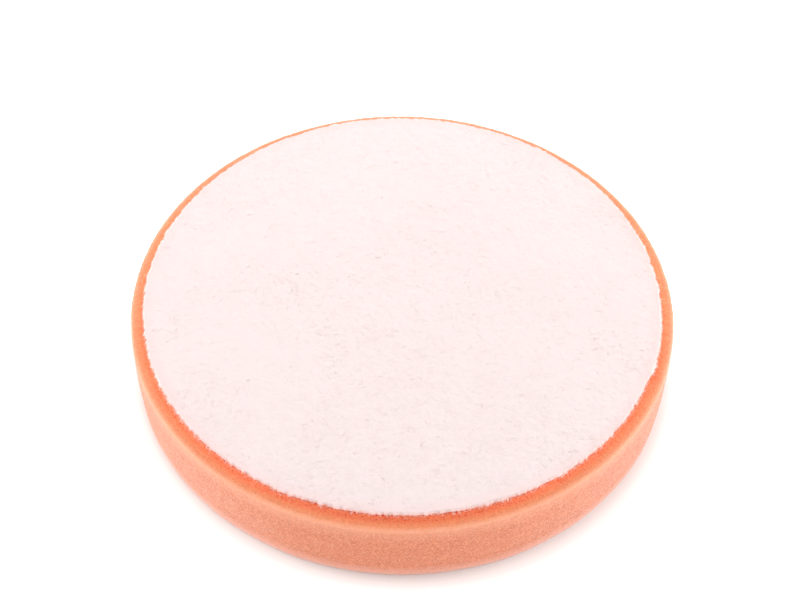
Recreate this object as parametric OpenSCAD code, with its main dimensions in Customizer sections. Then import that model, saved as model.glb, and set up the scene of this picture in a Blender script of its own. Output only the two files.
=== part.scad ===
// Round foam polishing pad with a loop backing for a hook-faced backing plate.
// The pad lies on its working face, loop side up. Origin: centre of the working face. Units: mm.

/* [Foam disc] */
// Diameter at the widest part of the wall
foam_d = 158; // [156:0.5:200]
// Thickness of the foam under the loop backing
foam_t = 25; // [12:0.5:50]
// Barrel of the wall: how far it would pull in from its widest part to the top of the foam
barrel = 0.15; // [0:0.05:0.6]
// Rounding of the edge of the working face
base_round = 2.5; // [0.5:0.25:4]

/* [Shoulder beside the loop backing] */
// Depth of the shoulder's floor below the top of the foam
shoulder_drop = 1.3; // [0.9:0.05:2]
// Radius of the hollow corner between the shoulder and the foam under the backing
cove_round = 0.85; // [0.3:0.05:0.9]
// Height of the rim's crest above the shoulder's floor
crest_rise = 0.1; // [0:0.05:0.5]
// Rounding of the rim's crest
crest_round = 0.6; // [0.4:0.1:1.3]

/* [Loop backing] */
// Diameter of the loop cloth
backing_d = 150; // [120:1:150]
// Thickness of the adhesive film that holds the cloth
film_t = 0.3; // [0.1:0.05:0.5]
// How far the film stays back from the cut edge of the cloth
film_inset = 0.25; // [0:0.05:1]
// Thickness of the knitted ground of the cloth
ground_t = 0.5; // [0.3:0.05:1]
// Height of the loops above the ground
pile_t = 0.7; // [0.4:0.05:2]

/* [Hidden] */
facets = 180;
arc_steps = 6;
wall_steps = 8;

foam_r = foam_d / 2;
backing_r = backing_d / 2;
belly_z = 0.65 * foam_t;
floor_z = foam_t - shoulder_drop;
crest_z = floor_z + crest_rise;
wall_top_z = crest_z - crest_round;
film_z = foam_t;
ground_z = film_z + film_t;
pile_z = ground_z + ground_t;

// Radius of the barrelled wall at a height
function wall_r(z) = foam_r - barrel * pow((z - belly_z) / (foam_t - belly_z), 2);

// Points along a circle arc, both ends included
function arc(centre, r, from, to) = [
    for (i = [0 : arc_steps])
        let (a = from + (to - from) * i / arc_steps)
        centre + r * [cos(a), sin(a)]
];

// Points up the wall between its two roundings
function wall() = [
    for (i = [1 : wall_steps - 1])
        let (z = base_round + (wall_top_z - base_round) * i / wall_steps)
        [wall_r(z), z]
];

// Points of the shoulder's gentle slope, from the crest down to the hollow corner
function slope(outer, inner) = [
    for (i = [1 : arc_steps - 1])
        let (t = i / arc_steps)
        [outer + (inner - outer) * t, floor_z + crest_rise * (1 + cos(180 * t)) / 2]
];

// Half section of the foam, from the centre of the working face round to the top
function foam_section() = concat(
    [[0, 0]],
    arc([wall_r(base_round) - base_round, base_round], base_round, -90, 0),
    wall(),
    arc([wall_r(wall_top_z) - crest_round, wall_top_z], crest_round, 0, 90),
    slope(wall_r(wall_top_z) - crest_round, backing_r + cove_round),
    arc([backing_r + cove_round, floor_z + cove_round], cove_round, 270, 180),
    [[backing_r, foam_t], [0, foam_t]]
);

// A flat round layer that lies at a height
module layer(r, z, t) {
    translate([0, 0, z])
        cylinder(r = r, h = t, $fn = facets);
}

module foam_disc() {
    color([0.93, 0.58, 0.46])
        rotate_extrude($fn = facets)
            polygon(foam_section());
}

module adhesive_film() {
    color([0.96, 0.46, 0.30])
        layer(backing_r - film_inset, film_z, film_t);
}

module backing_cloth() {
    color([0.96, 0.90, 0.88])
        layer(backing_r, ground_z, ground_t);
}

module loop_pile() {
    color([0.99, 0.94, 0.92])
        layer(backing_r, pile_z, pile_t);
}

foam_disc();
adhesive_film();
backing_cloth();
loop_pile();
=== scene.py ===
import itertools
import math

import bpy
import numpy as np
from mathutils import Matrix, Vector


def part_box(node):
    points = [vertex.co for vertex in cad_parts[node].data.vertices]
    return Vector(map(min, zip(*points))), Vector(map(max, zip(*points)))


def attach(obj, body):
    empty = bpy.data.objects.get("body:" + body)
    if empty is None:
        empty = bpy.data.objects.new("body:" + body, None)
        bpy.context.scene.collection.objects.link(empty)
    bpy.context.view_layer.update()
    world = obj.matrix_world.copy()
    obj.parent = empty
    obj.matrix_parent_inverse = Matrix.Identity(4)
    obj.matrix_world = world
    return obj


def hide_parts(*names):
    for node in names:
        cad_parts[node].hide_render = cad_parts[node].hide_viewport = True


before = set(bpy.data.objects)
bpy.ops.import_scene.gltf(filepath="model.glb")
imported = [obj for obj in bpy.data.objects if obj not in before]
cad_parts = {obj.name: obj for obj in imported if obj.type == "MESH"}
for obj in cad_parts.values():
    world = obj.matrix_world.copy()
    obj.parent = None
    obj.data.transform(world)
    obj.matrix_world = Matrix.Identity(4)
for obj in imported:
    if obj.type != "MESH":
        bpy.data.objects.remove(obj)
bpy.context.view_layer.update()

MM = 0.001
ROOT = "root"
BAKE_MAP = "OFBake"  # the UV map that textures are baked in

# The pad's measures, in metres, from the imported model.
foam_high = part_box("foam_disc")[1]
film_low, film_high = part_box("adhesive_film")
ground_low, ground_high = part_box("backing_cloth")
pile_low, pile_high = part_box("loop_pile")
FOAM_R = foam_high.x
FOAM_TOP = foam_high.z
FILM_R = film_high.x
FILM_Z = film_low.z
FILM_TOP = film_high.z
CLOTH_R = ground_high.x
GROUND_Z = ground_low.z
PILE_Z = pile_low.z
PILE_TOP = pile_high.z

# The foam's outline, as in the CAD model.
BARREL = 0.15 * MM
BASE_ROUND = 2.5 * MM
SHOULDER_DROP = 1.3 * MM
COVE_ROUND = 0.85 * MM
CREST_RISE = 0.1 * MM
CREST_ROUND = 0.6 * MM
BELLY_Z = 0.65 * FOAM_TOP
FLOOR_Z = FOAM_TOP - SHOULDER_DROP
WALL_TOP_Z = FLOOR_Z + CREST_RISE - CREST_ROUND


# ---------------------------------------------------------------- fixed noise

def hashed(cell, seed):
    """A fixed number from 0 to 1 for each lattice cell, given as whole numbers (n, 3)."""
    key = cell.astype(np.int64)
    h = (key[:, 0] * 73856093) ^ (key[:, 1] * 19349663) ^ (key[:, 2] * 83492791)
    h = (h ^ (seed * 668265263)) & 0xFFFFFFFF
    for factor in (0x45D9F3B, 0x119DE1F3):
        h = ((h ^ (h >> 15)) * factor) & 0xFFFFFFFF
    return (h ^ (h >> 16)) / 0xFFFFFFFF


def lumps(points, size, seed):
    """Smooth noise from -1 to 1 at each point, with lumps of a size."""
    at = points / size
    base = np.floor(at)
    t = at - base
    t = t * t * (3 - 2 * t)
    total = np.zeros(len(points))
    for corner in itertools.product((0, 1), repeat=3):
        weight = np.prod(np.where(np.array(corner) == 1, t, 1 - t), axis=1)
        total += weight * hashed(base + corner, seed)
    return 2 * total - 1


def pores(points, size, seed):
    """Distance to the nearest of randomly placed pore centres, one to a cell, in cells."""
    at = points / size
    base = np.floor(at)
    nearest = np.full(len(points), np.inf)
    for step in itertools.product((-1, 0, 1), repeat=3):
        cell = base + step
        centre = cell + np.stack([hashed(cell, seed + k) for k in range(3)], axis=1)
        nearest = np.minimum(nearest, np.linalg.norm(centre - at, axis=1))
    return nearest


def ease(x, low, high):
    """0 below low, 1 above high, and a smooth step between them."""
    t = np.clip((x - low) / (high - low), 0, 1)
    return t * t * (3 - 2 * t)


# ---------------------------------------------------------------- mesh making

def make_piece(name, points, faces, material):
    """A smooth mesh object in the row frame, made from points and lists of corners."""
    mesh = bpy.data.meshes.new(name)
    mesh.from_pydata(points.tolist(), [], faces)
    mesh.update()
    mesh.polygons.foreach_set("use_smooth", [True] * len(mesh.polygons))
    mesh.materials.append(material)
    piece = bpy.data.objects.new(name, mesh)
    bpy.context.scene.collection.objects.link(piece)
    return piece


def join_rings(first, n, second, m):
    """Faces between two closed rings of points, of which one has a multiple of the other's."""
    if n < m:
        return [face[::-1] for face in join_rings(second, m, first, n)]
    if m == 1:
        return [(first + i, first + (i + 1) % n, second) for i in range(n)]
    if n == m:
        return [
            (first + i, first + (i + 1) % n, second + (i + 1) % n, second + i)
            for i in range(n)
        ]
    faces, many = [], n // m
    half = many // 2
    for j in range(m):
        here, there = second + j, second + (j + 1) % m
        outer = [first + (j * many + i) % n for i in range(many + 1)]
        faces += [(outer[i], outer[i + 1], here) for i in range(half)]
        faces.append((outer[half], there, here))
        faces += [(outer[i], outer[i + 1], there) for i in range(half, many)]
    return faces


def distance_along(line):
    """Each point's distance along a line of points from the first one."""
    steps = np.linalg.norm(np.diff(line, axis=0), axis=1)
    return np.concatenate([[0], np.cumsum(steps)])


def revolve(rings):
    """Points, outward normals, faces and chart of rings (radius, z, normal r, normal z, count).

    The chart is each point's angle, and its distance along the section from the first ring.
    """
    points, normals, turns, faces = [], [], [], []
    start, last = 0, None
    for r, z, normal_r, normal_z, count in rings:
        turn = 2 * np.pi * np.arange(count) / count
        around = np.stack([np.cos(turn), np.sin(turn)], 1)
        points.append(np.column_stack([r * around, np.full(count, z)]))
        normals.append(np.column_stack([normal_r * around, np.full(count, normal_z)]))
        turns.append(turn)
        if last is not None:
            faces += join_rings(*last, start, count)
        last = (start, count)
        start += count
    along = distance_along(np.array([ring[:2] for ring in rings]))
    chart = np.concatenate(turns), np.repeat(along, [len(turn) for turn in turns])
    return np.concatenate(points), np.concatenate(normals), faces, chart


def disc_rings(outer, z, facing, spacing, most, inward):
    """Rings that fill a disc. Their count of points halves as they get smaller."""
    rings, r, count = [], outer, most
    while r > spacing:
        while count > 15 and 2 * np.pi * r / count < 0.75 * spacing:
            count //= 2
        rings.append((r, z, 0, facing, count))
        r -= spacing
    rings.append((0, z, 0, facing, 1))
    return rings if inward else rings[::-1]


def outline_rings(outline, spacing, count):
    """Rings evenly spaced along an outline of (r, z) points, with outward normals."""
    line = np.array(outline)
    along = distance_along(line)
    at = np.linspace(0, along[-1], round(along[-1] / spacing) + 1)
    r, z = np.interp(at, along, line[:, 0]), np.interp(at, along, line[:, 1])
    dr, dz = np.gradient(r), np.gradient(z)
    size = np.hypot(dr, dz)
    return [(r[i], z[i], dz[i] / size[i], -dr[i] / size[i], count) for i in range(len(at))]


def arc(centre, radius, start, end, steps=12):
    """Points (r, z) along a circle arc, angles in degrees."""
    a = np.radians(np.linspace(start, end, steps + 1))
    return np.stack([centre[0] + radius * np.cos(a), centre[1] + radius * np.sin(a)], 1)


def tubes(paths, thickness, sides=3, tip=0.6):
    """Points and faces of closed tubes that follow paths (tube, point, xyz).

    Each tube starts at 0.6 of its thickness and ends at the tip's share of it.
    """
    n, k = paths.shape[:2]
    along = np.gradient(paths, axis=1)
    along /= np.linalg.norm(along, axis=2, keepdims=True) + 1e-12
    span = paths[:, -1] - paths[:, 0]
    aside = np.cross(span, [0.3, 0.2, 1.0])
    aside = aside[:, None, :] - along * (aside[:, None, :] * along).sum(2, keepdims=True)
    aside /= np.linalg.norm(aside, axis=2, keepdims=True) + 1e-12
    across = np.cross(along, aside)
    a = 2 * np.pi * np.arange(sides) / sides
    ring = aside[:, :, None] * np.cos(a)[:, None] + across[:, :, None] * np.sin(a)[:, None]
    taper = np.ones(k)
    taper[0], taper[-1] = 0.6, tip
    radius = 0.5 * np.reshape(thickness, (-1, 1, 1, 1)) * taper[:, None, None]
    points = (paths[:, :, None] + radius * ring).reshape(-1, 3)
    faces = []
    for start in range(0, n * k * sides, k * sides):
        rings = range(start, start + k * sides, sides)
        for here, there in zip(rings, rings[1:]):
            faces += [
                (here + i, here + (i + 1) % sides, there + (i + 1) % sides, there + i)
                for i in range(sides)
            ]
        faces.append(tuple(rings[0] + i for i in reversed(range(sides))))
        faces.append(tuple(rings[-1] + i for i in range(sides)))
    return points, faces


# ---------------------------------------------------------------- UV maps for baking

def set_map(mesh, uv):
    """Gives a mesh the UV map that its textures are baked in, one (u, v) to a face corner."""
    layer = mesh.uv_layers.new(name=BAKE_MAP)
    layer.uv.foreach_set("vector", uv.astype(np.float32).ravel())


def lay_flat(piece, chart, zones):
    """Gives a revolved piece its UV map.

    Each zone is the stretch of the section that it takes, and the function that places it.
    """
    mesh, (turn, along) = piece.data, chart
    corner = np.empty(len(mesh.loops), np.int32)
    start, total = (np.empty(len(mesh.polygons), np.int32) for _ in range(2))
    mesh.loops.foreach_get("vertex_index", corner)
    mesh.polygons.foreach_get("loop_start", start)
    mesh.polygons.foreach_get("loop_total", total)
    face = np.repeat(np.arange(len(total)), total)

    def past(first, second):
        return (first - second + np.pi) % (2 * np.pi) - np.pi

    at, way = turn[corner], along[corner]
    first = at[start]
    middle = (first + np.add.reduceat(past(at, first[face]), start) / total) % (2 * np.pi)
    reach = np.add.reduceat(way, start) / total
    at = middle[face] + past(at, middle[face])
    uv = np.zeros((len(corner), 2))
    for low, high, place in zones:
        here = (reach[face] >= low) & (reach[face] < high)
        uv[here] = place(at[here], way[here], middle[face][here])
    set_map(mesh, uv)


def on_disc(centre, size, middle_way):
    """Places a zone as a disc; its middle is where the section meets the axis."""
    def place(at, way, middle):
        r = size * np.abs(way - middle_way)
        return np.stack([centre[0] + r * np.cos(at), centre[1] + r * np.sin(at)], 1)
    return place


def on_strips(strips, start_way, way_length):
    """Places a zone as strips (corner u, corner v, length, width, upright) side by side."""
    lengths = np.array([strip[2] for strip in strips])
    ends = 2 * np.pi * np.cumsum(lengths) / lengths.sum()
    starts = np.concatenate([[0], ends])

    def place(at, way, middle):
        which = np.minimum(np.searchsorted(ends, middle), len(strips) - 1)
        u0, v0, length, width, upright = np.array(strips)[which].T
        share = (at - starts[which]) * lengths.sum() / (2 * np.pi)
        across = width * (way - start_way) / way_length
        u = u0 + np.where(upright > 0, across, share)
        v = v0 + np.where(upright > 0, share, across)
        return np.stack([u, v], 1)
    return place


def lay_two_discs(piece, chart, hidden):
    """Lays a thin disc flat: its hidden underside small in a corner, the rest as a large disc."""
    whole = chart[1][-1]
    lay_flat(piece, chart, [
        (0, hidden, on_disc((0.04, 0.04), 0.035 / hidden, 0)),
        (hidden, 1, on_disc((0.5, 0.5), 0.495 / (whole - hidden), whole)),
    ])


def map_from_above(piece):
    """Gives a piece of many small shapes a UV map that is its plan."""
    corner = np.empty(len(piece.data.loops), np.int32)
    piece.data.loops.foreach_get("vertex_index", corner)
    at = np.empty(3 * len(piece.data.vertices), np.float32)
    piece.data.vertices.foreach_get("co", at)
    set_map(piece.data, 0.5 + at.reshape(-1, 3)[corner, :2] / (2.04 * FOAM_R))
    return piece


# ---------------------------------------------------------------- material nodes

class Nodes:
    """A material's node tree, with short calls for the nodes that this script uses."""

    def __init__(self, name):
        self.material = bpy.data.materials.new(name)
        self.material.use_nodes = True
        self.tree = self.material.node_tree
        self.shader = self.tree.nodes["Principled BSDF"]
        self.place = self.add("ShaderNodeTexCoord").outputs["Object"]

    def add(self, kind, **settings):
        node = self.tree.nodes.new(kind)
        for key, value in settings.items():
            setattr(node, key, value)
        return node

    def put(self, socket, value):
        """Links a socket to an output, or sets it to a plain value."""
        if isinstance(value, bpy.types.NodeSocket):
            self.tree.links.new(value, socket)
        else:
            socket.default_value = value

    def math(self, operation, *values):
        node = self.add("ShaderNodeMath", operation=operation)
        for socket, value in zip(node.inputs, values):
            self.put(socket, value)
        return node.outputs[0]

    def plus(self, first, second):
        return self.math("ADD", first, second)

    def times(self, first, second):
        return self.math("MULTIPLY", first, second)

    def scaled(self, value, factor, start):
        """A start value with a value times a factor on top."""
        return self.math("MULTIPLY_ADD", value, factor, start)

    def split(self):
        """The x, y and z of the place on the pad."""
        node = self.add("ShaderNodeSeparateXYZ")
        self.put(node.inputs[0], self.place)
        return node.outputs

    def join(self, x, y):
        node = self.add("ShaderNodeCombineXYZ")
        self.put(node.inputs[0], x)
        self.put(node.inputs[1], y)
        return node.outputs[0]

    def radius(self, x, y):
        return self.math("SQRT", self.plus(self.times(x, x), self.times(y, y)))

    def step(self, value, low, high):
        """0 to 1 as value goes from low to high, smoothly; low may be above high."""
        node = self.add("ShaderNodeMapRange", interpolation_type="SMOOTHSTEP")
        self.put(node.inputs["Value"], value)
        node.inputs["From Min"].default_value = low
        node.inputs["From Max"].default_value = high
        return node.outputs[0]

    def mix(self, share, first, second):
        node = self.add("ShaderNodeMix", data_type="RGBA")
        self.put(node.inputs["Factor"], share)
        self.put(node.inputs["A"], first)
        self.put(node.inputs["B"], second)
        return node.outputs["Result"]

    def paint(self, under, mask, share, colour):
        """Covers a share of what is under the mask with a colour."""
        return self.mix(self.times(mask, share), under, colour)

    def noise(self, size, detail=2.0, rough=0.5, place=None, distortion=0.0):
        node = self.add("ShaderNodeTexNoise")
        self.put(node.inputs["Vector"], self.place if place is None else place)
        node.inputs["Scale"].default_value = 1 / size
        node.inputs["Detail"].default_value = detail
        node.inputs["Roughness"].default_value = rough
        node.inputs["Distortion"].default_value = distortion
        return node.outputs["Fac"]

    def cells(self, size):
        """Distance to the middle of the nearest cell, in cells."""
        node = self.add("ShaderNodeTexVoronoi")
        self.put(node.inputs["Vector"], self.place)
        node.inputs["Scale"].default_value = 1 / size
        return node.outputs["Distance"]

    def bump(self, height, depth, strength):
        node = self.add("ShaderNodeBump")
        node.inputs["Strength"].default_value = strength
        node.inputs["Distance"].default_value = depth
        self.put(node.inputs["Height"], height)
        return node.outputs["Normal"]

    def finish(self, colour, roughness, normal=None, **plain):
        """Connects the shader and returns the material; plain values keep their socket's name."""
        self.put(self.shader.inputs["Base Color"], colour)
        self.put(self.shader.inputs["Roughness"], roughness)
        if normal is not None:
            self.put(self.shader.inputs["Normal"], normal)
        for key, value in plain.items():
            self.shader.inputs[key.replace("_", " ")].default_value = value
        return self.material


def rgb(r, g, b):
    return (r, g, b, 1.0)


# ---------------------------------------------------------------- foam material

FOAM_CELL = 0.42 * MM
FOAM_GRAIN = 0.5 * MM
FOAM_BLOTCH = 6 * MM
STAIN_STREAK = 0.6 * MM
STAIN_DOT = 0.55 * MM

SALMON_DEEP = rgb(0.575, 0.14, 0.064)
SALMON_LIGHT = rgb(0.785, 0.25, 0.122)
# Painted shade in the foam's pores, and painted glints on the struts between them.
SALMON_PORE_SHADE = rgb(0.48, 0.10, 0.047)
SALMON_STRUT_GLINT = rgb(0.89, 0.43, 0.28)
SALMON_BLOTCH = rgb(0.79, 0.255, 0.127)
# Painted light on the rim: a highlight on the crest that fades down the wall, and light from the
# table on the wall's foot.
RIM_HIGHLIGHT_FADE = rgb(0.93, 0.42, 0.26)
CREST_HIGHLIGHT = rgb(1.0, 0.47, 0.30)
FOOT_TABLE_LIGHT = rgb(0.87, 0.44, 0.34)
STAIN_DEEP = rgb(0.90, 0.275, 0.115)
STAIN_LIGHT = rgb(0.97, 0.375, 0.18)
STAIN_SOAKED = rgb(0.98, 0.26, 0.12)
STAIN_DOTS = rgb(0.80, 0.10, 0.035)


def cut_foam(n, cell, grain):
    """Salmon foam with soft blotches, painted shade in its pores, and painted glints on the light
    struts between them.
    """
    # Pores get painted shade, struts get painted glints.
    pore_shade = n.step(cell, 0.32, 0.08)
    strut_glint = n.step(cell, 0.48, 0.78)
    blotch = n.step(n.noise(FOAM_BLOTCH, detail=3.0), 0.35, 0.65)
    colour = n.mix(n.step(grain, 0.33, 0.67), SALMON_DEEP, SALMON_LIGHT)
    colour = n.paint(colour, pore_shade, 0.7, SALMON_PORE_SHADE)
    colour = n.paint(colour, strut_glint, 0.6, SALMON_STRUT_GLINT)
    return n.paint(colour, blotch, 0.22, SALMON_BLOTCH)


def painted_rim_light(n, colour, radius, z):
    """Painted light: the crest is painted paler where the rounded rim catches light from above,
    fading down the wall, and the wall's foot is painted paler where light from the white table
    falls on it.
    """
    outer = n.step(radius, CLOTH_R + 1.8 * MM, CLOTH_R + 3.9 * MM)
    highlight_fade = n.times(outer, n.step(z, FLOOR_Z - 7 * MM, FLOOR_Z))
    crest_highlight = n.times(outer, n.step(z, FLOOR_Z - 1.3 * MM, FLOOR_Z - 0.2 * MM))
    # The wall's foot: painted light from the white table below.
    on_wall = n.step(radius, FOAM_R - 3.5 * MM, FOAM_R - 1 * MM)
    foot = n.times(on_wall, n.step(z, 6.6 * MM, 1.6 * MM))
    colour = n.paint(colour, highlight_fade, 0.45, RIM_HIGHLIGHT_FADE)
    colour = n.paint(colour, crest_highlight, 0.65, CREST_HIGHLIGHT)
    return n.paint(colour, foot, 0.8, FOOT_TABLE_LIGHT)


def glue_stain(n, colour, grain, x, y, z, radius):
    """Adhesive has soaked the shoulder beside the cloth, in fine streaks that run outward."""
    around = n.times(n.math("ARCTAN2", y, x), CLOTH_R)
    streak = n.noise(STAIN_STREAK, place=n.join(around, n.times(radius, 0.12)))
    reach = n.plus(radius, n.times(n.math("SUBTRACT", streak, 0.5), 2.0 * MM))
    on_shoulder = n.step(z, FLOOR_Z - 1.5 * MM, FLOOR_Z - 0.6 * MM)
    tinted = n.times(n.step(reach, CLOTH_R + 4.1 * MM, CLOTH_R + 1.3 * MM), on_shoulder)
    soaked = n.times(n.step(reach, CLOTH_R + 2.2 * MM, CLOTH_R - 0.2 * MM), on_shoulder)
    dots = n.times(n.step(n.noise(STAIN_DOT), 0.5, 0.38), soaked)
    orange = n.mix(n.step(grain, 0.35, 0.65), STAIN_DEEP, STAIN_LIGHT)
    colour = n.paint(colour, tinted, 0.85, orange)
    colour = n.paint(colour, soaked, 0.9, STAIN_SOAKED)
    return n.paint(colour, dots, 0.75, STAIN_DOTS)


def foam_material():
    """Open-cell foam: small cells and soft blotches, deeper beside the glued cloth, with painted
    shade in its pores, painted glints on its struts and painted light on its rim.
    """
    n = Nodes("foam")
    x, y, z = n.split()
    radius = n.radius(x, y)
    cell = n.cells(FOAM_CELL)
    grain = n.noise(FOAM_GRAIN, detail=3.0, rough=0.6)
    colour = painted_rim_light(n, cut_foam(n, cell, grain), radius, z)
    colour = glue_stain(n, colour, grain, x, y, z, radius)
    relief = n.plus(n.times(cell, 0.8), n.times(grain, 0.7))
    return n.finish(
        colour, n.scaled(grain, 0.2, 0.78), n.bump(relief, 0.2 * MM, strength=0.7),
        Sheen_Weight=0.5, Sheen_Roughness=0.4, Sheen_Tint=rgb(1.0, 0.93, 0.89),
        Specular_IOR_Level=0.3,
    )


# ---------------------------------------------------------------- adhesive and cloth materials

ADHESIVE_DEEP = rgb(0.62, 0.055, 0.02)
ADHESIVE_LIGHT = rgb(0.80, 0.14, 0.06)
ADHESIVE_BLISTER = 0.5 * MM

COURSE = 0.8 * MM  # the knitted ground's stitch, along y
WALE = 0.6 * MM  # and along x
# Painted shade in the hollows between stitches.
KNIT_HOLLOW_SHADE = rgb(0.74, 0.56, 0.54)
KNIT_YARN = rgb(0.88, 0.74, 0.72)
KNIT_FUZZ = rgb(0.92, 0.80, 0.78)
KNIT_STAIN = rgb(1.0, 0.46, 0.35)

NAP_DEEP = rgb(0.745, 0.635, 0.622)
NAP_LIGHT = rgb(0.815, 0.705, 0.697)
NAP_TUFT = rgb(0.795, 0.685, 0.677)
NAP_SWEEP = rgb(0.795, 0.675, 0.667)
NAP_THIN = rgb(0.83, 0.61, 0.59)
NAP_LIP = rgb(1.0, 0.68, 0.635)
NAP_FLECK = rgb(0.55, 0.46, 0.46)

CLEAN_FIBRE = rgb(0.81, 0.67, 0.65), rgb(0.88, 0.755, 0.74)
STAINED_FIBRE = rgb(1.0, 0.72, 0.65), rgb(1.0, 0.48, 0.38)
SOAKED_FIBRE = rgb(0.98, 0.42, 0.30), rgb(0.86, 0.25, 0.15)

# Painted shade at the cut edge, on dark stubs.
SHADE_STUB_LIGHT = rgb(0.62, 0.20, 0.15)
SHADE_STUB_DARK = rgb(0.40, 0.09, 0.07)


def adhesive_material():
    """Set hot-melt adhesive, stained by the foam, with small blisters."""
    n = Nodes("adhesive")
    cloud = n.noise(1.5 * MM)
    colour = n.mix(cloud, ADHESIVE_DEEP, ADHESIVE_LIGHT)
    normal = n.bump(n.cells(ADHESIVE_BLISTER), 0.15 * MM, strength=0.6)
    return n.finish(colour, n.scaled(cloud, 0.3, 0.35), normal, Specular_IOR_Level=0.4)


def ground_material():
    """Knitted ground: rows of small stitches in pinkish-white yarn, with painted shade in the
    hollows between them, stained near the cut.
    """
    n = Nodes("knitted_ground")
    x, y, _ = n.split()
    course = n.math("SINE", n.times(y, 2 * math.pi / COURSE))
    wale = n.math("SINE", n.times(x, 2 * math.pi / WALE))
    stitch = n.times(course, wale)
    fuzz = n.noise(0.5 * MM, detail=3.0)
    at_edge = n.step(n.radius(x, y), CLOTH_R - 2.0 * MM, CLOTH_R - 0.5 * MM)
    stain = n.times(at_edge, n.step(fuzz, 0.75, 0.35))
    # Painted shade where the stitches sink.
    colour = n.mix(n.step(stitch, -0.6, 0.8), KNIT_HOLLOW_SHADE, KNIT_YARN)
    colour = n.paint(colour, fuzz, 0.3, KNIT_FUZZ)
    colour = n.paint(colour, stain, 0.75, KNIT_STAIN)
    return n.finish(
        colour, n.scaled(fuzz, 0.15, 0.82), n.bump(n.plus(stitch, fuzz), 0.1 * MM, strength=0.6),
        Sheen_Weight=0.3, Sheen_Roughness=0.5,
    )


def nap_material():
    """Brushed loop nap: matted fibres with small tufts and a few specks, pinker at its edge."""
    n = Nodes("loop_nap")
    x, y, _ = n.split()
    radius = n.radius(x, y)
    matted = n.noise(0.35 * MM, detail=4.0, rough=0.65, distortion=0.6)
    tuft = n.noise(1.6 * MM)
    sweep = n.noise(9 * MM)
    fleck = n.step(n.cells(1.7 * MM), 0.11, 0.05)
    thin = n.step(radius, CLOTH_R - 4.5 * MM, CLOTH_R - 0.3 * MM)
    lip = n.step(radius, CLOTH_R - 0.45 * MM, CLOTH_R - 0.1 * MM)
    colour = n.mix(n.step(matted, 0.3, 0.7), NAP_DEEP, NAP_LIGHT)
    colour = n.paint(colour, n.step(tuft, 0.35, 0.65), 0.4, NAP_TUFT)
    colour = n.paint(colour, n.step(sweep, 0.3, 0.7), 0.35, NAP_SWEEP)
    colour = n.paint(colour, thin, 0.5, NAP_THIN)
    colour = n.paint(colour, lip, 0.85, NAP_LIP)
    colour = n.paint(colour, fleck, 0.35, NAP_FLECK)
    height = n.plus(matted, n.times(tuft, 0.5))
    return n.finish(
        colour, n.scaled(matted, 0.1, 0.86), n.bump(height, 0.18 * MM, strength=0.5),
        Sheen_Weight=0.35, Sheen_Roughness=0.5, Sheen_Tint=rgb(1.0, 0.95, 0.94),
        Specular_IOR_Level=0.2,
    )


def fibre_material(name, colours, size):
    """Single polyester filaments of the nap, or clumps of them, tinted in patches of a size."""
    n = Nodes(name)
    tint = n.noise(size)
    colour = n.mix(n.step(tint, 0.38, 0.62), *colours)
    return n.finish(
        colour, n.scaled(tint, 0.2, 0.5), Sheen_Weight=0.2, Specular_IOR_Level=0.3
    )


def edge_shade_stub_material():
    """Dark red-brown stubs along the cut edge: painted shade, standing for the small shadows
    between its tufts.
    """
    n = Nodes("edge_shade_stub")
    stub_tone = n.noise(0.4 * MM)
    colour = n.mix(n.step(stub_tone, 0.35, 0.65), SHADE_STUB_LIGHT, SHADE_STUB_DARK)
    return n.finish(colour, n.scaled(stub_tone, 0.3, 0.35), Specular_IOR_Level=0.4)


# ---------------------------------------------------------------- foam disc

AROUND = 960  # points around the pad
WALL_STEP = 0.5 * MM  # between rings on the wall and the shoulder
UNDER_STEP = 0.85 * MM  # between rings on the working face
GLUED_STEP = 4 * MM  # between rings on the top, under the cloth
GRAIN_DEPTH = 0.045 * MM
PORE_CELL = 1.05 * MM
PORE_DEPTH = 0.13 * MM
SWAY_DEPTH = 0.10 * MM  # the slow waviness of a cut through springy foam
STREAK_DEPTH = 0.09 * MM
SINK = 0.08 * MM  # keeps the rough surface inside the CAD outline

# The wall's and the shoulder's place in the UV map: corner u, corner v, length, width, upright.
FOAM_STRIPS = [
    (0.005, 0.602, 0.99, 0.193, 0),
    (0.005, 0.802, 0.99, 0.193, 0),
    (0.602, 0.008, 0.583, 0.193, 1),
    (0.802, 0.008, 0.583, 0.193, 1),
]


def wall_radius(z):
    """Radius of the barrelled wall at a height."""
    return FOAM_R - BARREL * ((z - BELLY_Z) / (FOAM_TOP - BELLY_Z)) ** 2


def foam_outline():
    """The foam's (r, z) outline, from the working face's edge round to under the cloth."""
    crest_r = wall_radius(WALL_TOP_Z) - CREST_ROUND
    cove_r = CLOTH_R + COVE_ROUND
    heights = np.linspace(BASE_ROUND, WALL_TOP_Z, 24)[1:-1]
    t = np.linspace(0, 1, 12)[1:-1]
    slope_r = crest_r + (cove_r - crest_r) * t
    slope_z = FLOOR_Z + CREST_RISE * (1 + np.cos(np.pi * t)) / 2
    return np.concatenate([
        arc((wall_radius(BASE_ROUND) - BASE_ROUND, BASE_ROUND), BASE_ROUND, -90, 0),
        np.stack([wall_radius(heights), heights], 1),
        arc((crest_r, WALL_TOP_Z), CREST_ROUND, 0, 90),
        np.stack([slope_r, slope_z], 1),
        arc((cove_r, FLOOR_Z + COVE_ROUND), COVE_ROUND, 270, 180),
        [[CLOTH_R, FOAM_TOP], [CLOTH_R - 1.0 * MM, FOAM_TOP]],
    ])


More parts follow.
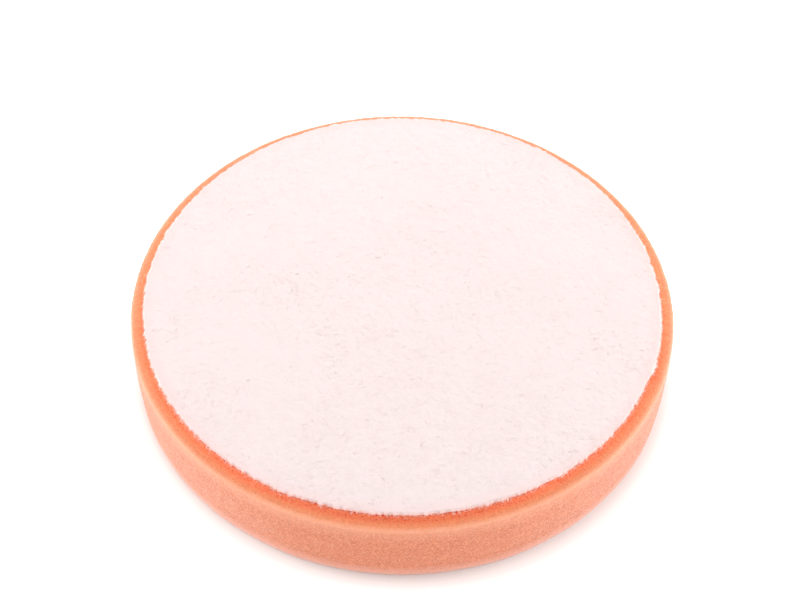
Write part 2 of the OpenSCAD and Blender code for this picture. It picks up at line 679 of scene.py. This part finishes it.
def foam_relief(points):
    """How far each point of the cut foam stands out, in metres; pores go in."""
    radius = np.hypot(points[:, 0], points[:, 1])
    z = points[:, 2]
    grain = GRAIN_DEPTH * (lumps(points, 0.8 * MM, seed=1) + lumps(points, 1.9 * MM, seed=2))
    pit = PORE_DEPTH * (1 - ease(pores(points, PORE_CELL, seed=3), 0.15, 0.6))
    on_table = z < 0.3 * MM
    sway = np.where(on_table, 0, SWAY_DEPTH * lumps(points, 14 * MM, seed=4))
    around = np.arctan2(points[:, 1], points[:, 0]) * CLOTH_R
    streak_at = np.stack([around, 0.2 * radius, np.zeros(len(points))], 1)
    past_cloth = ease(radius, CLOTH_R, CLOTH_R + 0.6 * MM)
    on_shoulder = past_cloth * ease(z, FLOOR_Z - 0.5 * MM, FLOOR_Z)
    streak = STREAK_DEPTH * lumps(streak_at, 0.9 * MM, seed=5) * on_shoulder
    shown = ease(radius, CLOTH_R - 0.5 * MM, CLOTH_R)
    share = np.where(z < 0.5 * FOAM_TOP, 1.0, shown)
    return share * (grain - pit + streak + sway - SINK)


def make_foam(material):
    """The foam disc: the CAD outline with pores, waviness and streaks."""
    outline = outline_rings(foam_outline(), WALL_STEP, AROUND)
    first_r, last_r = outline[0][0], outline[-1][0]
    under = disc_rings(first_r - UNDER_STEP, 0, -1, UNDER_STEP, AROUND // 2, inward=False)
    glued = [
        (last_r - i * GLUED_STEP, FOAM_TOP, 0, 1, AROUND // 2 ** i) for i in range(1, 6)
    ]
    glued.append((0, FOAM_TOP, 0, 1, 1))
    points, normals, faces, chart = revolve(under + outline + glued)
    points = points + normals * foam_relief(points)[:, None]
    points[:, 2] = np.maximum(points[:, 2], 0)
    piece = make_piece("foam_body", points, faces, material)
    whole = chart[1][-1]
    end = whole - last_r
    lay_flat(piece, chart, [
        (0, first_r, on_disc((0.295, 0.295), 0.285 / first_r, 0)),
        (first_r, end, on_strips(FOAM_STRIPS, first_r, end - first_r)),
        (end, 1, on_disc((0.548, 0.548), 0.035 / last_r, whole)),
    ])
    return piece


# ---------------------------------------------------------------- adhesive film

EDGE_BEAD_R = 0.15 * MM
SPILL = 0.1 * MM  # how far the film is squeezed out everywhere
MORE_SPILL = 0.35 * MM  # and how much further in places


def make_adhesive(material):
    """The film under the cloth, squeezed out a little at its edge."""
    rim = arc((FILM_R - EDGE_BEAD_R, (FILM_Z + FILM_TOP) / 2), EDGE_BEAD_R, -90, 90, 4)
    outline = outline_rings(rim, 0.1 * MM, AROUND)
    bottom = [(0, FILM_Z, 0, -1, 1)]
    bottom += [(20 * MM * (i + 1), FILM_Z, 0, -1, 60 * 2 ** i) for i in range(3)]
    bottom += [(68 * MM, FILM_Z, 0, -1, 480)]
    top = [(ring[0], FILM_TOP, 0, 1, ring[4]) for ring in reversed(bottom)]
    points, normals, faces, chart = revolve(bottom + outline + top)
    edge = ease(np.hypot(points[:, 0], points[:, 1]), FILM_R - 1 * MM, FILM_R - 0.1 * MM)
    spill = MORE_SPILL * ease(lumps(points, 1.3 * MM, seed=11), 0.0, 0.9) + SPILL
    points[:, :2] *= 1 + (edge * spill / FILM_R)[:, None]
    piece = make_piece("adhesive_edge", points, faces, material)
    lay_two_discs(piece, chart, bottom[-1][0])
    return piece


# ---------------------------------------------------------------- loop cloth

CUT_BEVEL = 0.1 * MM
JOG_AT = math.radians(-22)  # where the cut jogs out a little
JOG = 0.45 * MM
NAP_STEP = 0.47 * MM  # between rings on the nap
NAP_DROOP = 0.32 * MM  # how far in from the edge the nap droops
NAP_FULL = 0.54 * MM  # the matted nap's height
NAP_HANG = 0.40 * MM  # how far its edge hangs down in places
NAP_UNDER = PILE_Z - 0.1 * MM  # the nap's underside, sunk in the ground


def on_edge(turn):
    """Points on the nominal edge circle, for noise that runs along the edge."""
    return np.stack([np.cos(turn), np.sin(turn), 0 * turn], 1) * CLOTH_R


def cut_radius(turn):
    """The radius of the ground's cut edge at each angle: a hand-guided, slightly ragged cut."""
    at = on_edge(turn)
    ragged = 0.14 * lumps(at, 1.1 * MM, seed=21)
    ragged += 0.10 * lumps(at, 3.1 * MM, seed=22)
    ragged += 0.12 * lumps(at, 16 * MM, seed=23)
    past = np.angle(np.exp(1j * (turn - JOG_AT)))
    jog = JOG * ease(past, 0, 0.012) * (1 - ease(past, 0.02, 0.25))
    return CLOTH_R + (ragged - 0.05) * MM + jog


def nap_radius(turn):
    """The radius of the nap's edge at each angle: small tufts that pass the cut, and gaps."""
    at = on_edge(turn)
    tufts = 0.26 * lumps(at, 0.55 * MM, seed=24) + 0.14 * lumps(at, 1.4 * MM, seed=25)
    return cut_radius(turn) + tufts * MM


def follow_cut(points, cut, depth):
    """Moves points within a depth of the cloth's edge so that its outline follows a cut."""
    turn = np.arctan2(points[:, 1], points[:, 0])
    radius = np.hypot(points[:, 0], points[:, 1])
    share = ease(radius, CLOTH_R - depth, CLOTH_R)
    moved = points.copy()
    moved[:, :2] *= (1 + share * (cut(turn) / CLOTH_R - 1))[:, None]
    return moved


def make_ground(material):
    """The knitted ground: a thin closed disc with a ragged cut edge."""
    middle_z = GROUND_Z + (ground_high.z - ground_low.z) / 2
    inset_r = CLOTH_R - CUT_BEVEL
    side = outline_rings(
        [[inset_r, GROUND_Z], [CLOTH_R, middle_z], [inset_r, PILE_Z]], 0.17 * MM, AROUND
    )
    bottom = disc_rings(CLOTH_R - 1 * MM, GROUND_Z, -1, 3 * MM, AROUND // 2, inward=False)
    top = disc_rings(CLOTH_R - 0.8 * MM, PILE_Z, 1, 1.2 * MM, AROUND // 2, inward=True)
    points, normals, faces, chart = revolve(bottom + side + top)
    stitches = 0.04 * MM * (lumps(points, COURSE, seed=31) - 1)
    points = follow_cut(points + normals * stitches[:, None], cut_radius, 3 * MM)
    piece = make_piece("cloth_ground", points, faces, material)
    lay_two_discs(piece, chart, bottom[-1][0])
    return piece


def nap_height(points):
    """The top of the matted nap above the knitted ground, in metres."""
    radius = np.hypot(points[:, 0], points[:, 1])
    tufts = 0.05 * lumps(points, 1.0 * MM, seed=41) + 0.04 * lumps(points, 2.4 * MM, seed=42)
    sweep = 0.04 * lumps(points, 18 * MM, seed=43)
    droop = np.sqrt(np.clip((CLOTH_R - radius) / NAP_DROOP, 0, 1))
    return (NAP_FULL + (tufts + sweep) * MM) * droop


def make_nap(material):
    """The matted top of the loops, in tufts that hang a little over the cut edge."""
    inner_r, middle_r = CLOTH_R - 1.5 * MM, CLOTH_R - 0.7 * MM
    bottom = disc_rings(inner_r, NAP_UNDER, -1, 6 * MM, AROUND // 4, inward=False)
    bottom.append((middle_r, NAP_UNDER, 0, -1, AROUND // 2))
    lip = [(CLOTH_R, NAP_UNDER, 1, 0, 2 * AROUND)]
    brow = [
        (CLOTH_R - share * NAP_DROOP, PILE_Z, 1, 1, 2 * AROUND)
        for share in (0.0, 0.1, 0.35, 0.65)
    ]
    top = disc_rings(CLOTH_R - NAP_DROOP, PILE_Z, 1, NAP_STEP, AROUND, inward=True)
    points, normals, faces, chart = revolve(bottom + lip + brow + top)
    on_top = normals[:, 2] > 0.5
    at_lip = ~on_top & (np.hypot(normals[:, 0], normals[:, 1]) > 0.5)
    turn = np.arctan2(points[:, 1], points[:, 0])
    hang = NAP_HANG * ease(lumps(on_edge(turn), 0.8 * MM, seed=26), -0.2, 0.8)
    points[:, 2] += np.where(on_top, nap_height(points), 0) - np.where(at_lip, hang, 0)
    piece = make_piece("nap_mat", follow_cut(points, nap_radius, 1.2 * MM), faces, material)
    lay_two_discs(piece, chart, middle_r)
    return piece


# ---------------------------------------------------------------- filaments, and dark stubs of painted shade

LOOPS = 9600  # in each of two pieces
FRINGE = 2600
TUFTS = 2100
CLUMPS = 1000
SHADE_STUBS = 260


def loop_paths(draw, count):
    """Small arched filaments all over the nap, most of them lying over."""
    radius = (CLOTH_R - 0.3 * MM) * np.sqrt(draw.random(count))
    turn = 2 * np.pi * draw.random(count)
    foot = np.stack([radius * np.cos(turn), radius * np.sin(turn), np.zeros(count)], 1)
    heading = 2 * np.pi * draw.random(count)
    span = draw.uniform(0.4, 1.3, count) * MM
    bend = draw.normal(0, 0.25, count) * MM
    rise = draw.uniform(0.06, 0.22, count) * MM
    go = np.stack([np.cos(heading), np.sin(heading), np.zeros(count)], 1)
    side = np.stack([-np.sin(heading), np.cos(heading), np.zeros(count)], 1)
    t = np.linspace(0, 1, 4)[None, :, None]
    path = foot[:, None] + go[:, None] * (span[:, None, None] * (t - 0.5))
    path = path + side[:, None] * (bend[:, None, None] * np.sin(np.pi * t))
    inside = np.hypot(path[..., 0], path[..., 1])
    path[..., :2] *= np.minimum(1, (CLOTH_R - 0.1 * MM) / inside)[..., None]
    base = PILE_Z + nap_height(path.reshape(-1, 3)).reshape(count, -1) - 0.05 * MM
    path[..., 2] = base + rise[:, None] * np.sin(np.pi * t[..., 0])
    path[..., 2] = np.minimum(path[..., 2], PILE_TOP - 0.03 * MM)
    return path


def fringe_paths(draw, count):
    """Filament ends that stand out from the cut edge."""
    turn = 2 * np.pi * (np.arange(count) + draw.uniform(-0.5, 0.5, count)) / count
    lean = draw.normal(0, 0.7, count)
    reach = np.minimum(draw.gamma(2.2, 0.16, count), 1.2) * MM
    start_r = cut_radius(turn) - draw.uniform(0.1, 0.5, count) * MM
    start_z = draw.uniform(GROUND_Z + 0.1 * MM, PILE_Z + 0.35 * MM, count)
    lift = draw.normal(0.0, 0.25, count) * MM
    t = np.linspace(0, 1, 5)[None, :]
    out = start_r[:, None] + (reach + 0.3 * MM)[:, None] * t * np.cos(lean)[:, None]
    swing = reach[:, None] * t * np.sin(lean)[:, None] / CLOTH_R
    curl = draw.normal(0, 0.3, count)[:, None] * MM * t * t / CLOTH_R
    at = turn[:, None] + swing + curl
    droop = 0.15 * MM * (np.sin(np.pi * t) - t * t)
    z = np.clip(start_z[:, None] + lift[:, None] * t + droop, FLOOR_Z + 0.3 * MM, PILE_TOP)
    return np.stack([out * np.cos(at), out * np.sin(at), z], 2)


def tuft_paths(draw, count, spread):
    """Small clumps of nap, in patches, stuck to the cut edge and the hollow below it."""
    turn = draw.uniform(0, 2 * np.pi, 3 * count)
    patch = lumps(on_edge(turn), 2.4 * MM, seed=27) + draw.uniform(-1.5, 1.5, 3 * count)
    turn = turn[np.argsort(-patch)[:count]]
    down = spread * draw.beta(1.1, 2.2, count)
    top_z, low_z = PILE_Z + 0.3 * MM, FLOOR_Z + 0.35 * MM
    middle_r = nap_radius(turn) - 0.2 * MM + 1.2 * MM * down
    middle_z = top_z + (low_z - top_z) * down
    long = draw.uniform(0.25, 0.85, count) * MM
    lean = draw.normal(0, 0.8, count)
    t = np.linspace(-0.5, 0.5, 5)[None, :]
    fall = (long * np.cos(lean))[:, None] * t
    r = middle_r[:, None] + 0.65 * fall
    z = np.clip(middle_z[:, None] - 0.76 * fall, FLOOR_Z + 0.25 * MM, PILE_TOP - 0.1 * MM)
    at = turn[:, None] + (long * np.sin(lean))[:, None] * t / CLOTH_R
    return np.stack([r * np.cos(at), r * np.sin(at), z], 2)


def shade_stub_paths(draw, count):
    """Short dark stubs along the cut edge: painted shade between the tufts there."""
    turn = 2 * np.pi * (np.arange(count) + draw.uniform(-0.6, 0.6, count)) / count
    long = draw.uniform(0.12, 0.34, count) * MM
    thick = draw.uniform(0.10, 0.22, count) * MM
    r = cut_radius(turn) + draw.uniform(-0.05, 0.12, count) * MM
    z = draw.uniform(GROUND_Z, PILE_Z + 0.05 * MM, count)
    t = np.linspace(-0.5, 0.5, 4)[None, :]
    at = turn[:, None] + long[:, None] * t / CLOTH_R
    out = r[:, None] - 0.1 * MM * (2 * t) ** 2
    return np.stack([out * np.cos(at), out * np.sin(at), z[:, None] + 0 * t], 2), thick


def make_tubes(name, paths, thickness, material, **form):
    """One piece of many small tubes."""
    points, faces = tubes(paths, thickness, **form)
    return map_from_above(make_piece(name, points, faces, material))


# ---------------------------------------------------------------- stage, lights and camera

FLOOR_SIDE = 6.0
FLOOR_GLOW = 0.4
FLOOR_GLOW_FROM = FOAM_R - 1.5 * MM
FLOOR_GLOW_FULL = FOAM_R + 6.5 * MM
FLOOR_GLOW_ASIDE = (0.9 * MM, 0.5 * MM)
FAR_GLOW = 0.3
FAR_GLOW_FROM = 0.4
FAR_GLOW_FULL = 1.6
WORLD_LIGHT = 0.5
# Softboxes: place in metres, width, and the light that each adds to a level white card.
LIGHTS = [
    ("front", (0.15, -0.75, 0.95), 0.7, 0.262),
    ("overhead", (0.0, 0.45, 0.75), 0.8, 0.285),
    ("back", (0.0, 0.42, 0.22), 0.28, 0.19),
    ("left", (-0.4, 0.02, 0.1), 0.2, 0.13),
    ("right", (0.4, 0.02, 0.1), 0.2, 0.11),
]
CAMERA_LENS = 72
CAMERA_PITCH = math.radians(49.6)
CAMERA_ROLL = math.radians(0.86)
CAMERA_DISTANCE = 465.2 * MM
CAMERA_ASIDE = 0.75 * MM
CAMERA_BELOW = 1.2 * MM


def floor_material():
    """A white table that glows a little, so that it stays white in the picture.

    It doesn't glow under the pad and close around it, so that the shadow there shows, and it
    glows more far away. The middle of the part that doesn't glow is a little aside.
    """
    n = Nodes("white_table")
    x, y, _ = n.split()
    x = n.math("SUBTRACT", x, FLOOR_GLOW_ASIDE[0])
    y = n.math("SUBTRACT", y, FLOOR_GLOW_ASIDE[1])
    radius = n.radius(x, y)
    clear = n.step(radius, FLOOR_GLOW_FROM, FLOOR_GLOW_FULL)
    far = n.times(n.step(radius, FAR_GLOW_FROM, FAR_GLOW_FULL), FAR_GLOW)
    n.put(n.shader.inputs["Emission Strength"], n.scaled(clear, FLOOR_GLOW, far))
    return n.finish(
        rgb(0.86, 0.86, 0.86), 0.9, Specular_IOR_Level=0.0, Emission_Color=rgb(1, 1, 1)
    )


def make_floor():
    half = FLOOR_SIDE / 2
    corners = [(-half, -half, 0), (half, -half, 0), (half, half, 0), (-half, half, 0)]
    mesh = bpy.data.meshes.new("table_top")
    mesh.from_pydata(corners, [], [(0, 1, 2, 3)])
    mesh.materials.append(floor_material())
    floor = bpy.data.objects.new("table_top", mesh)
    bpy.context.scene.collection.objects.link(floor)


def soft_light(name, place, width, share):
    """A square softbox at a place, turned towards the pad.

    The share is the light that it adds to a level white card where the pad is.
    """
    away = Vector(place)
    lamp = bpy.data.lights.new(name, "AREA")
    lamp.shape, lamp.size = "SQUARE", width
    lamp.energy = share * math.pi ** 2 * away.length ** 3 / away.z
    holder = bpy.data.objects.new(name, lamp)
    holder.location = place
    holder.rotation_euler = (-away).to_track_quat("-Z", "Y").to_euler()
    bpy.context.scene.collection.objects.link(holder)


def make_lights():
    """Even light from all around, and the softboxes."""
    world = bpy.data.worlds.new("studio")
    world.use_nodes = True
    background = world.node_tree.nodes["Background"]
    background.inputs["Color"].default_value = rgb(1, 1, 1)
    background.inputs["Strength"].default_value = WORLD_LIGHT
    bpy.context.scene.world = world
    for light in LIGHTS:
        soft_light(*light)


def make_camera():
    """A short telephoto view down onto the loop face, as in the product picture."""
    data = bpy.data.cameras.new("camera")
    data.lens = CAMERA_LENS
    data.sensor_width = 36
    data.clip_start, data.clip_end = 0.01, 20
    camera = bpy.data.objects.new("camera", data)
    bpy.context.scene.collection.objects.link(camera)
    pitch = Matrix.Rotation(math.pi / 2 - CAMERA_PITCH, 3, "X")
    turn = pitch @ Matrix.Rotation(CAMERA_ROLL, 3, "Z")
    target = Vector((0, 0, PILE_TOP - 0.5 * MM))
    seen_at = Vector((CAMERA_ASIDE, CAMERA_BELOW, -CAMERA_DISTANCE))
    camera.location = target - turn @ seen_at
    camera.rotation_euler = turn.to_euler()
    bpy.context.scene.camera = camera


def set_view():
    """Plain colours, with no film look."""
    view = bpy.context.scene.view_settings
    view.view_transform = "Standard"
    view.look = "None"
    view.exposure = 0
    view.gamma = 1


# ---------------------------------------------------------------- the pad

def own(piece, slot, *nodes):
    """Attaches a piece to the root and hides the CAD nodes that it stands for; the slot, its
    finish, is not used.
    """
    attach(piece, ROOT)
    if nodes:
        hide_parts(*nodes)
    return piece


draw = np.random.default_rng(7)

foam = own(make_foam(foam_material()), "foam", "foam_disc")

own(make_adhesive(adhesive_material()), "adhesive", "adhesive_film")

ground = own(make_ground(ground_material()), "knitted_ground", "backing_cloth")
nap = own(make_nap(nap_material()), "loop_nap", "loop_pile")

clean = fibre_material("nap_fibre", CLEAN_FIBRE, 1.5 * MM)
stained = fibre_material("stained_fibre", STAINED_FIBRE, 1.2 * MM)
soaked = fibre_material("soaked_fibre", SOAKED_FIBRE, 1.2 * MM)
for number in (1, 2):
    paths = loop_paths(draw, LOOPS)
    thick = draw.uniform(0.045, 0.075, LOOPS) * MM
    own(make_tubes(f"nap_loops_{number}", paths, thick, clean), "loop_nap")
paths = fringe_paths(draw, FRINGE)
thick = draw.uniform(0.04, 0.08, FRINGE) * MM
own(make_tubes("edge_fringe", paths, thick, stained), "loop_nap")
for name, count, spread, material in (
    ("edge_tufts", TUFTS, 0.5, stained),
    ("edge_clumps", CLUMPS, 0.9, soaked),
):
    paths = tuft_paths(draw, count, spread)
    thick = draw.uniform(0.12, 0.32, count) * MM
    piece = make_tubes(name, paths, thick, material, sides=4, tip=0.4)
    own(piece, "loop_nap")
# Dark stubs along the cut edge: painted shade between the tufts.
paths, thick = shade_stub_paths(draw, SHADE_STUBS)
piece = make_tubes("edge_shade_stubs", paths, thick, edge_shade_stub_material(), sides=5)
shade_stubs = own(piece, "knitted_ground")

make_floor()
make_lights()
make_camera()
set_view()
